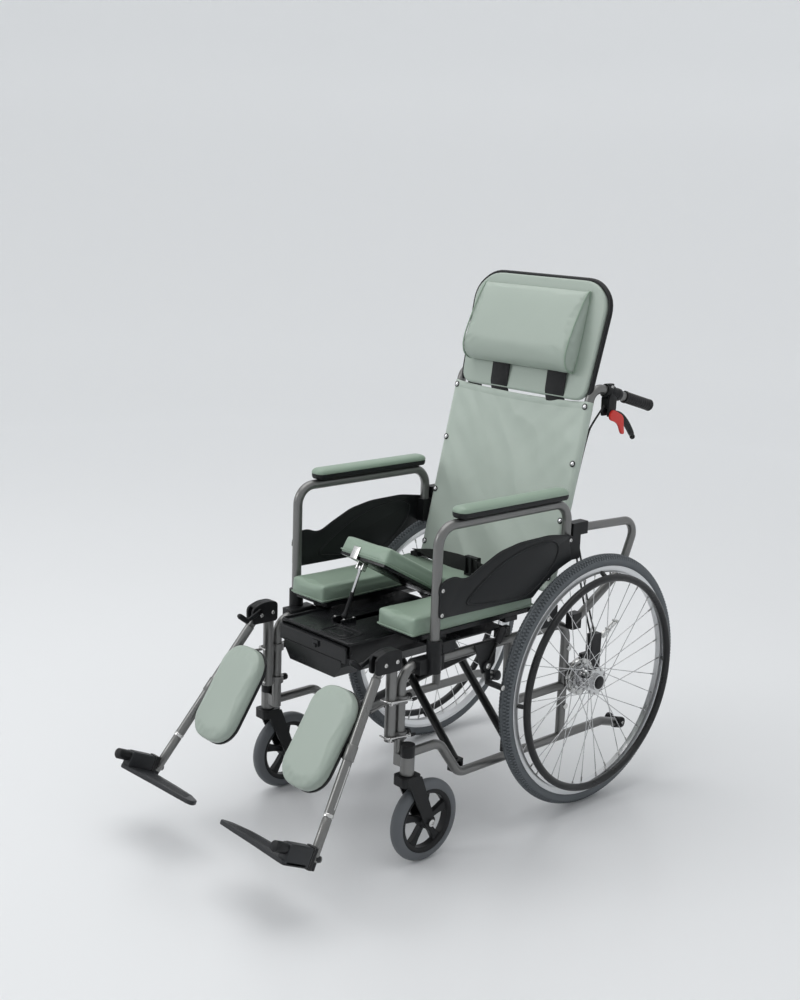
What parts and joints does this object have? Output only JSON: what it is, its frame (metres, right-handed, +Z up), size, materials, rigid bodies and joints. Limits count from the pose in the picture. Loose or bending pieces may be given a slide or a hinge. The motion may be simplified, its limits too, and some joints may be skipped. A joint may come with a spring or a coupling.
{
  "type": "reclining commode wheelchair",
  "caption": "Reclining wheelchair with a split seat over a commode drawer, a headrest, lift-out armrests, swing-away raising legrests, spoked rear wheels and swivelling casters.",
  "frame": {"origin": "on the floor, half way along the length and on the plane of symmetry", "axes": "+X to the user's left, +Y to the rear, +Z up"},
  "size_m": [0.6096, 1.2618, 1.2304],
  "materials": {
    "frame_paint": "satin metallic grey",
    "black_paint": "semi gloss black",
    "black_nylon": "fine grained black",
    "black_moulding": "moulded black, faint sheen",
    "sage_vinyl": "grained vinyl over foam",
    "sage_sheet": "coated fabric sheet",
    "black_webbing": "woven webbing",
    "brake_metal": "black with bare edges",
    "cable_rubber": "smooth sleeve",
    "plated_steel": "zinc plated",
    "chrome_rod": "polished",
    "tyre_rubber": "dark grey tread",
    "wheel_alloy": "satin",
    "spoke_steel": "bright",
    "handrim_black": "smooth black coat on an aluminium ring",
    "caster_rubber": "grey solid tread on a black core",
    "guard_plastic": "fine grain",
    "red_plastic": "bright red",
    "leg_chrome": "satin silver",
    "foot_plastic": "ribbed dark grey",
    "grip_rubber": "moulded"
  },
  "bodies": {
    "frame": {"side_frames": "frame_paint", "cross_brace": "black_paint", "frame_castings": "black_nylon", "commode_deck": "black_moulding", "seat_board": "black_moulding", "seat_cushion": "sage_vinyl", "lap_belt": "black_webbing", "hub_brakes": "brake_metal", "brake_cables": "cable_rubber", "wheel_lock_brackets": "black_paint", "frame_bolts": "plated_steel", "frame_caps": "black_nylon"},
    "backrest": {"back_posts": "frame_paint", "back_sheet": "sage_sheet", "back_rivets": "plated_steel", "headrest_panel": "sage_vinyl", "head_pillow": "sage_vinyl", "push_grips": "grip_rubber", "lever_housings": "black_nylon"},
    "commode_drawer": {"commode_drawer": "black_moulding"},
    "seat_flap": {"seat_flap": "sage_vinyl"},
    "flap_prop": {"flap_prop": "chrome_rod"},
    "wheel_left": {"tyre_left": "tyre_rubber", "rim_left": "wheel_alloy", "spokes_hub_left": "spoke_steel", "handrim_left": "handrim_black"},
    "caster_fork_left": {"caster_fork_left": "black_nylon"},
    "caster_wheel_left": {"caster_wheel_left": "caster_rubber"},
    "armrest_left": {"armrest_tube_left": "frame_paint", "armrest_pad_left": "sage_vinyl", "skirt_guard_left": "guard_plastic"},
    "lock_lever_left": {"lock_lever_left": "black_paint"},
    "brake_lever_left": {"brake_lever_left": "black_nylon"},
    "lock_trigger_left": {"lock_trigger_left": "red_plastic"},
    "hanger_left": {"hanger_left": "frame_paint", "hinge_cover_left": "black_nylon"},
    "release_lever_left": {"release_lever_left": "chrome_rod"},
    "leg_left": {"leg_tube_left": "leg_chrome", "calf_pad_left": "sage_vinyl"},
    "foot_left": {"foot_tube_left": "leg_chrome"},
    "footplate_left": {"footplate_left": "foot_plastic"},
    "wheel_right": {"tyre_right": "tyre_rubber", "rim_right": "wheel_alloy", "spokes_hub_right": "spoke_steel", "handrim_right": "handrim_black"},
    "caster_fork_right": {"caster_fork_right": "black_nylon"},
    "caster_wheel_right": {"caster_wheel_right": "caster_rubber"},
    "armrest_right": {"armrest_tube_right": "frame_paint", "armrest_pad_right": "sage_vinyl", "skirt_guard_right": "guard_plastic"},
    "lock_lever_right": {"lock_lever_right": "black_paint"},
    "brake_lever_right": {"brake_lever_right": "black_nylon"},
    "lock_trigger_right": {"lock_trigger_right": "red_plastic"},
    "hanger_right": {"hanger_right": "frame_paint", "hinge_cover_right": "black_nylon"},
    "release_lever_right": {"release_lever_right": "chrome_rod"},
    "leg_right": {"leg_tube_right": "leg_chrome", "calf_pad_right": "sage_vinyl"},
    "foot_right": {"foot_tube_right": "leg_chrome"},
    "footplate_right": {"footplate_right": "foot_plastic"}
  },
  "joints": [
    {"name": "backrest_recline", "type": "hinge", "parent": "frame", "child": "backrest", "pos_m": [0, 0.20993, 0.468], "axis": [-1, 0, 0], "range_deg": [0, 65]},
    {"name": "drawer_slide", "type": "slide", "parent": "frame", "child": "commode_drawer", "axis": [0, -1, 0], "range_m": [0, 0.15]},
    {"name": "flap_hinge", "type": "hinge", "parent": "frame", "child": "seat_flap", "pos_m": [0, 0.05193, 0.5], "axis": [1, 0, 0], "range_deg": [0, 29]},
    {"name": "prop_fold", "type": "hinge", "parent": "seat_flap", "child": "flap_prop", "pos_m": [-0.022, -0.15543, 0.59208], "axis": [1, 0, 0], "range_deg": [0, 83]},
    {"name": "wheel_spin_left", "type": "hinge", "parent": "frame", "child": "wheel_left", "pos_m": [0.263, 0.32593, 0.305], "axis": [1, 0, 0], "continuous": true},
    {"name": "caster_swivel_left", "type": "hinge", "parent": "frame", "child": "caster_fork_left", "pos_m": [0.243, -0.24207, 0.23], "axis": [0, 0, 1], "continuous": true},
    {"name": "caster_spin_left", "type": "hinge", "parent": "caster_fork_left", "child": "caster_wheel_left", "pos_m": [0.243, -0.18707, 0.093], "axis": [1, 0, 0], "continuous": true},
    {"name": "armrest_lift_left", "type": "slide", "parent": "frame", "child": "armrest_left", "axis": [0, 0, 1], "range_m": [0, 0.036]},
    {"name": "wheel_lock_left", "type": "hinge", "parent": "frame", "child": "lock_lever_left", "pos_m": [0.231, 0.00293, 0.399], "axis": [1, 0, 0], "range_deg": [0, 14]},
    {"name": "brake_squeeze_left", "type": "hinge", "parent": "backrest", "child": "brake_lever_left", "pos_m": [0.217, 0.38793, 0.936], "axis": [1, 0, 0], "range_deg": [0, 18], "stiffness_Nm_per_rad": 1.5, "springref_deg": -6.88},
    {"name": "trigger_left", "type": "hinge", "parent": "backrest", "child": "lock_trigger_left", "pos_m": [0.2322, 0.38193, 0.938], "axis": [1, 0, 0], "range_deg": [0, 20], "stiffness_Nm_per_rad": 0.4, "springref_deg": -5.73},
    {"name": "legrest_swing_left", "type": "hinge", "parent": "frame", "child": "hanger_left", "pos_m": [0.213, -0.24007, 0.33], "axis": [0, 0, 1], "range_deg": [0, 90]},
    {"name": "release_left", "type": "hinge", "parent": "hanger_left", "child": "release_lever_left", "pos_m": [0.1935, -0.30607, 0.474], "axis": [-1, 0, 0], "range_deg": [0, 12], "stiffness_Nm_per_rad": 0.6, "springref_deg": -8.59},
    {"name": "leg_raise_left", "type": "hinge", "parent": "hanger_left", "child": "leg_left", "pos_m": [0.212, -0.29607, 0.464], "axis": [-1, 0, 0], "range_deg": [0, 55]},
    {"name": "foot_extend_left", "type": "slide", "parent": "leg_left", "child": "foot_left", "axis": [0.1632, -0.5515, -0.8181], "range_m": [0, 0.07]},
    {"name": "footplate_flip_left", "type": "hinge", "parent": "foot_left", "child": "footplate_left", "pos_m": [0.283, -0.56828, 0.15723], "axis": [0, 0.9063, -0.4226], "range_deg": [0, 90]},
    {"name": "wheel_spin_right", "type": "hinge", "parent": "frame", "child": "wheel_right", "pos_m": [-0.263, 0.32593, 0.305], "axis": [1, 0, 0], "continuous": true},
    {"name": "caster_swivel_right", "type": "hinge", "parent": "frame", "child": "caster_fork_right", "pos_m": [-0.243, -0.24207, 0.23], "axis": [0, 0, 1], "continuous": true},
    {"name": "caster_spin_right", "type": "hinge", "parent": "caster_fork_right", "child": "caster_wheel_right", "pos_m": [-0.243, -0.18707, 0.093], "axis": [1, 0, 0], "continuous": true},
    {"name": "armrest_lift_right", "type": "slide", "parent": "frame", "child": "armrest_right", "axis": [0, 0, 1], "range_m": [0, 0.036]},
    {"name": "wheel_lock_right", "type": "hinge", "parent": "frame", "child": "lock_lever_right", "pos_m": [-0.231, 0.00293, 0.399], "axis": [1, 0, 0], "range_deg": [0, 14]},
    {"name": "brake_squeeze_right", "type": "hinge", "parent": "backrest", "child": "brake_lever_right", "pos_m": [-0.217, 0.38793, 0.936], "axis": [1, 0, 0], "range_deg": [0, 18], "stiffness_Nm_per_rad": 1.5, "springref_deg": -6.88},
    {"name": "trigger_right", "type": "hinge", "parent": "backrest", "child": "lock_trigger_right", "pos_m": [-0.2322, 0.38193, 0.938], "axis": [1, 0, 0], "range_deg": [0, 20], "stiffness_Nm_per_rad": 0.4, "springref_deg": -5.73},
    {"name": "legrest_swing_right", "type": "hinge", "parent": "frame", "child": "hanger_right", "pos_m": [-0.213, -0.24007, 0.33], "axis": [0, 0, -1], "range_deg": [0, 90]},
    {"name": "release_right", "type": "hinge", "parent": "hanger_right", "child": "release_lever_right", "pos_m": [-0.1935, -0.30607, 0.474], "axis": [-1, 0, 0], "range_deg": [0, 12], "stiffness_Nm_per_rad": 0.6, "springref_deg": -8.59},
    {"name": "leg_raise_right", "type": "hinge", "parent": "hanger_right", "child": "leg_right", "pos_m": [-0.212, -0.29607, 0.464], "axis": [-1, 0, 0], "range_deg": [0, 55]},
    {"name": "foot_extend_right", "type": "slide", "parent": "leg_right", "child": "foot_right", "axis": [-0.1632, -0.5515, -0.8181], "range_m": [0, 0.07]},
    {"name": "footplate_flip_right", "type": "hinge", "parent": "foot_right", "child": "footplate_right", "pos_m": [-0.283, -0.56828, 0.15723], "axis": [0, -0.9063, 0.4226], "range_deg": [0, 90]}
  ],
  "couplings": [
    {"joint": "prop_fold", "follows": "flap_hinge", "ratio": 2.83}
  ]
}
